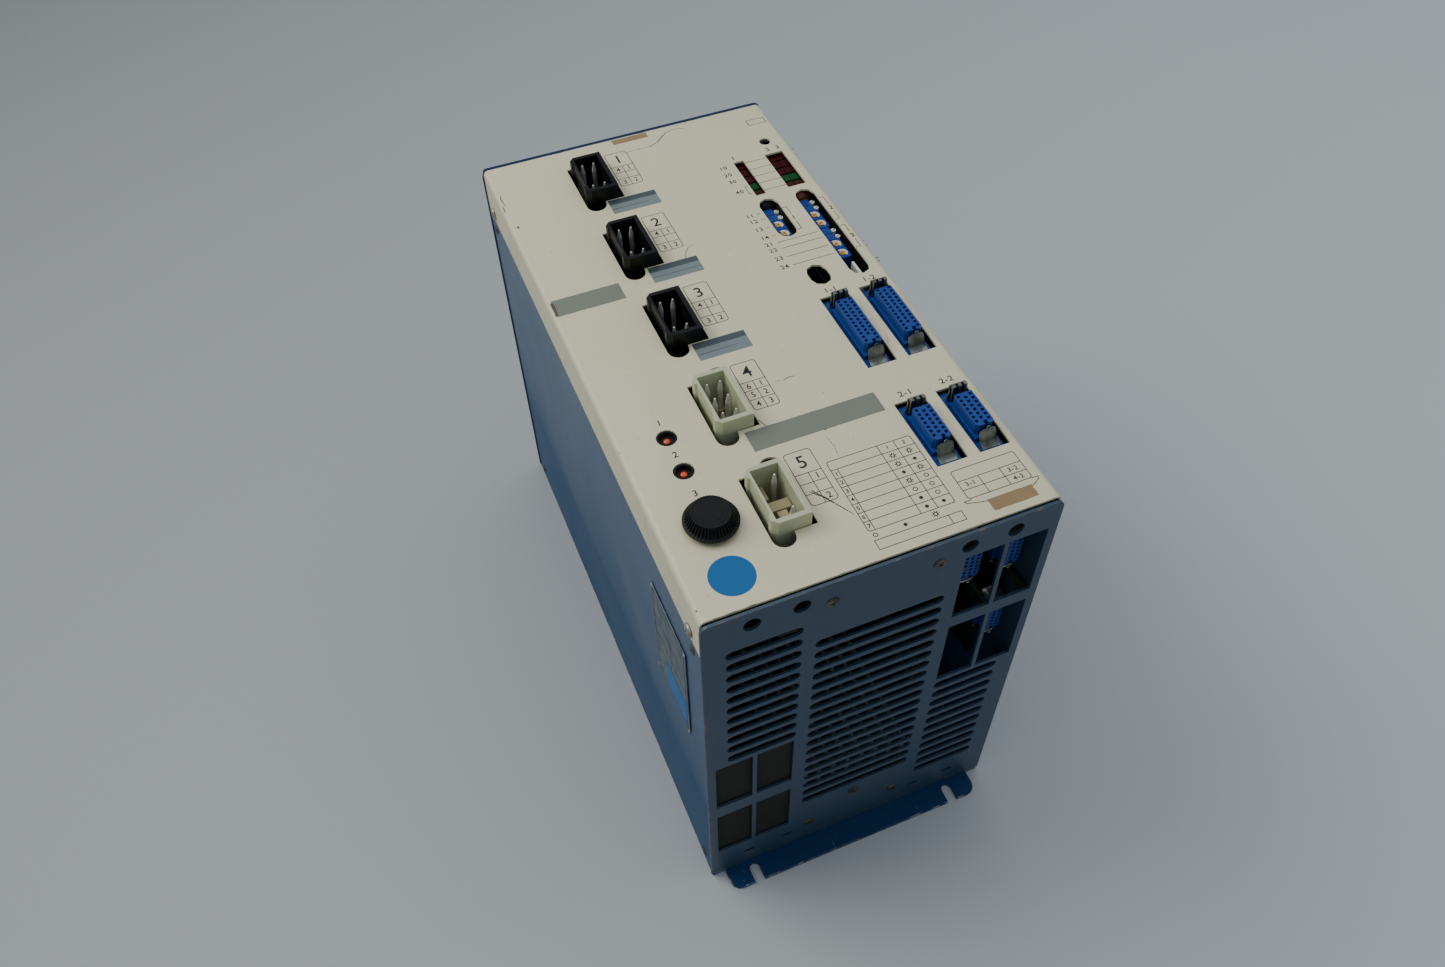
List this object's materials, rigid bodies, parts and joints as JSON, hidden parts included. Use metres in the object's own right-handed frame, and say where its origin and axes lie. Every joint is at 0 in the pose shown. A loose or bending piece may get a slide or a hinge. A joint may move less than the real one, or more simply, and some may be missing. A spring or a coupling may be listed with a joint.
{
  "type": "servo drive",
  "caption": "Book-shaped servo drive in a vented sheet-metal case, with power headers, signal connectors, trimmers, fuses and slotted wall flanges.",
  "frame": {"origin": "centre of the footprint, on the wall-mounting face of the rear plate", "axes": "+Z out of the front panel, +Y towards the upper end with the fan, X across the width; the drive lies on its back"},
  "size_m": [0.1764, 0.366, 0.2688],
  "materials": {
    "cream_paint": "semi-gloss cream powder coat",
    "blue_paint": "semi-gloss slate-blue paint",
    "zinc_steel": "zinc-plated",
    "aluminium": "satin",
    "capacitor_sleeve": "sleeved aluminium can",
    "connector_blue": "moulded",
    "trimmer_blue": "moulded",
    "white_plastic": "moulded",
    "brass": "turned",
    "board_green": "solder-masked glass-fibre board",
    "black_plastic": "moulded",
    "natural_nylon": "natural nylon",
    "fuse_glass": "clear"
  },
  "bodies": {
    "case": {"bay_connector_1": "connector_blue", "bay_connector_2": "connector_blue", "bay_connector_3": "connector_blue", "capacitor_1": "capacitor_sleeve", "capacitor_2": "capacitor_sleeve", "control_board_1": "board_green", "control_board_2": "board_green", "control_header": "natural_nylon", "cover_screw_1": "zinc_steel", "cover_screw_2": "zinc_steel", "cover_screw_3": "zinc_steel", "cover_screw_4": "zinc_steel", "fan_frame": "black_plastic", "front_cover": "cream_paint", "fuse_holder": "black_plastic", "heat_sink": "aluminium", "left_side_panel": "blue_paint", "long_connector_1": "connector_blue", "long_connector_2": "connector_blue", "lower_end_plate": "blue_paint", "motor_header_1": "black_plastic", "motor_header_2": "black_plastic", "motor_header_3": "black_plastic", "nameplate": "aluminium", "power_board": "board_green", "rear_plate": "blue_paint", "right_side_panel": "blue_paint", "short_connector_1": "connector_blue", "short_connector_2": "connector_blue", "small_fuse_1": "black_plastic", "small_fuse_2": "black_plastic", "supply_header": "natural_nylon", "trimmer_bank_a": "trimmer_blue", "trimmer_bank_b": "trimmer_blue", "trimmer_bank_c": "trimmer_blue", "upper_end_plate": "blue_paint", "window_baffle": "black_plastic"},
    "trimmer_a1": {"trimmer_bank_a_screw_1": "white_plastic"},
    "trimmer_a2": {"trimmer_bank_a_screw_2": "white_plastic"},
    "trimmer_a3": {"trimmer_bank_a_screw_3": "brass"},
    "trimmer_a4": {"trimmer_bank_a_screw_4": "brass"},
    "trimmer_b1": {"trimmer_bank_b_screw_1": "white_plastic"},
    "trimmer_b2": {"trimmer_bank_b_screw_2": "white_plastic"},
    "trimmer_b3": {"trimmer_bank_b_screw_3": "brass"},
    "trimmer_b4": {"trimmer_bank_b_screw_4": "brass"},
    "trimmer_c1": {"trimmer_bank_c_screw_1": "white_plastic"},
    "trimmer_c2": {"trimmer_bank_c_screw_2": "white_plastic"},
    "trimmer_c3": {"trimmer_bank_c_screw_3": "brass"},
    "trimmer_c4": {"trimmer_bank_c_screw_4": "brass"},
    "long_connector_1_latch_1": {"long_connector_1_latch_1": "zinc_steel"},
    "long_connector_1_latch_2": {"long_connector_1_latch_2": "zinc_steel"},
    "long_connector_2_latch_1": {"long_connector_2_latch_1": "zinc_steel"},
    "long_connector_2_latch_2": {"long_connector_2_latch_2": "zinc_steel"},
    "short_connector_1_latch_1": {"short_connector_1_latch_1": "zinc_steel"},
    "short_connector_1_latch_2": {"short_connector_1_latch_2": "zinc_steel"},
    "short_connector_2_latch_1": {"short_connector_2_latch_1": "zinc_steel"},
    "short_connector_2_latch_2": {"short_connector_2_latch_2": "zinc_steel"},
    "fuse_carrier": {"fuse_link": "fuse_glass"},
    "fuse_cap": {"fuse_cap": "black_plastic"},
    "fan_rotor": {"fan_rotor": "black_plastic"}
  },
  "joints": [
    {"name": "trimmer_a1_turn", "type": "hinge", "parent": "case", "child": "trimmer_a1", "pos_m": [0.05625, 0.07331, 0.2503], "axis": [0, 0, 1], "range_deg": [-130, 130]},
    {"name": "trimmer_a2_turn", "type": "hinge", "parent": "case", "child": "trimmer_a2", "pos_m": [0.05625, 0.06781, 0.2503], "axis": [0, 0, 1], "range_deg": [-130, 130]},
    {"name": "trimmer_a3_turn", "type": "hinge", "parent": "case", "child": "trimmer_a3", "pos_m": [0.05185, 0.06106, 0.2537], "axis": [0, 0, 1], "continuous": true},
    {"name": "trimmer_a4_turn", "type": "hinge", "parent": "case", "child": "trimmer_a4", "pos_m": [0.05185, 0.05306, 0.2537], "axis": [0, 0, 1], "continuous": true},
    {"name": "trimmer_b1_turn", "type": "hinge", "parent": "case", "child": "trimmer_b1", "pos_m": [0.07835, 0.07331, 0.2503], "axis": [0, 0, 1], "range_deg": [-130, 130]},
    {"name": "trimmer_b2_turn", "type": "hinge", "parent": "case", "child": "trimmer_b2", "pos_m": [0.07835, 0.06781, 0.2503], "axis": [0, 0, 1], "range_deg": [-130, 130]},
    {"name": "trimmer_b3_turn", "type": "hinge", "parent": "case", "child": "trimmer_b3", "pos_m": [0.07395, 0.06106, 0.2537], "axis": [0, 0, 1], "continuous": true},
    {"name": "trimmer_b4_turn", "type": "hinge", "parent": "case", "child": "trimmer_b4", "pos_m": [0.07395, 0.05306, 0.2537], "axis": [0, 0, 1], "continuous": true},
    {"name": "trimmer_c1_turn", "type": "hinge", "parent": "case", "child": "trimmer_c1", "pos_m": [0.07835, 0.04601, 0.2503], "axis": [0, 0, 1], "range_deg": [-130, 130]},
    {"name": "trimmer_c2_turn", "type": "hinge", "parent": "case", "child": "trimmer_c2", "pos_m": [0.07835, 0.04051, 0.2503], "axis": [0, 0, 1], "range_deg": [-130, 130]},
    {"name": "trimmer_c3_turn", "type": "hinge", "parent": "case", "child": "trimmer_c3", "pos_m": [0.07395, 0.03376, 0.2537], "axis": [0, 0, 1], "continuous": true},
    {"name": "trimmer_c4_turn", "type": "hinge", "parent": "case", "child": "trimmer_c4", "pos_m": [0.07395, 0.02576, 0.2537], "axis": [0, 0, 1], "continuous": true},
    {"name": "long_connector_1_latch_1_tilt", "type": "hinge", "parent": "case", "child": "long_connector_1_latch_1", "pos_m": [0.05185, -0.01105, 0.2573], "axis": [-1, 0, 0], "range_deg": [0, 10], "stiffness_Nm_per_rad": 0.02},
    {"name": "long_connector_1_latch_2_tilt", "type": "hinge", "parent": "case", "child": "long_connector_1_latch_2", "pos_m": [0.05185, -0.05965, 0.2573], "axis": [1, 0, 0], "range_deg": [0, 10], "stiffness_Nm_per_rad": 0.02},
    {"name": "long_connector_2_latch_1_tilt", "type": "hinge", "parent": "case", "child": "long_connector_2_latch_1", "pos_m": [0.07395, -0.01105, 0.2573], "axis": [-1, 0, 0], "range_deg": [0, 10], "stiffness_Nm_per_rad": 0.02},
    {"name": "long_connector_2_latch_2_tilt", "type": "hinge", "parent": "case", "child": "long_connector_2_latch_2", "pos_m": [0.07395, -0.05965, 0.2573], "axis": [1, 0, 0], "range_deg": [0, 10], "stiffness_Nm_per_rad": 0.02},
    {"name": "short_connector_1_latch_1_tilt", "type": "hinge", "parent": "case", "child": "short_connector_1_latch_1", "pos_m": [0.05185, -0.09207, 0.2573], "axis": [-1, 0, 0], "range_deg": [0, 10], "stiffness_Nm_per_rad": 0.02},
    {"name": "short_connector_1_latch_2_tilt", "type": "hinge", "parent": "case", "child": "short_connector_1_latch_2", "pos_m": [0.05185, -0.12807, 0.2573], "axis": [1, 0, 0], "range_deg": [0, 10], "stiffness_Nm_per_rad": 0.02},
    {"name": "short_connector_2_latch_1_tilt", "type": "hinge", "parent": "case", "child": "short_connector_2_latch_1", "pos_m": [0.07395, -0.09207, 0.2573], "axis": [-1, 0, 0], "range_deg": [0, 10], "stiffness_Nm_per_rad": 0.02},
    {"name": "short_connector_2_latch_2_tilt", "type": "hinge", "parent": "case", "child": "short_connector_2_latch_2", "pos_m": [0.07395, -0.12807, 0.2573], "axis": [1, 0, 0], "range_deg": [0, 10], "stiffness_Nm_per_rad": 0.02},
    {"name": "fuse_draw", "type": "slide", "parent": "case", "child": "fuse_carrier", "axis": [0, 0, 1], "range_m": [0, 0.04]},
    {"name": "fuse_cap_turn", "type": "hinge", "parent": "fuse_carrier", "child": "fuse_cap", "pos_m": [-0.06215, -0.1213, 0.2622], "axis": [0, 0, 1], "range_deg": [0, 90]},
    {"name": "fan_spin", "type": "hinge", "parent": "case", "child": "fan_rotor", "pos_m": [0, 0.1536, 0.13], "axis": [0, 1, 0], "continuous": true}
  ]
}
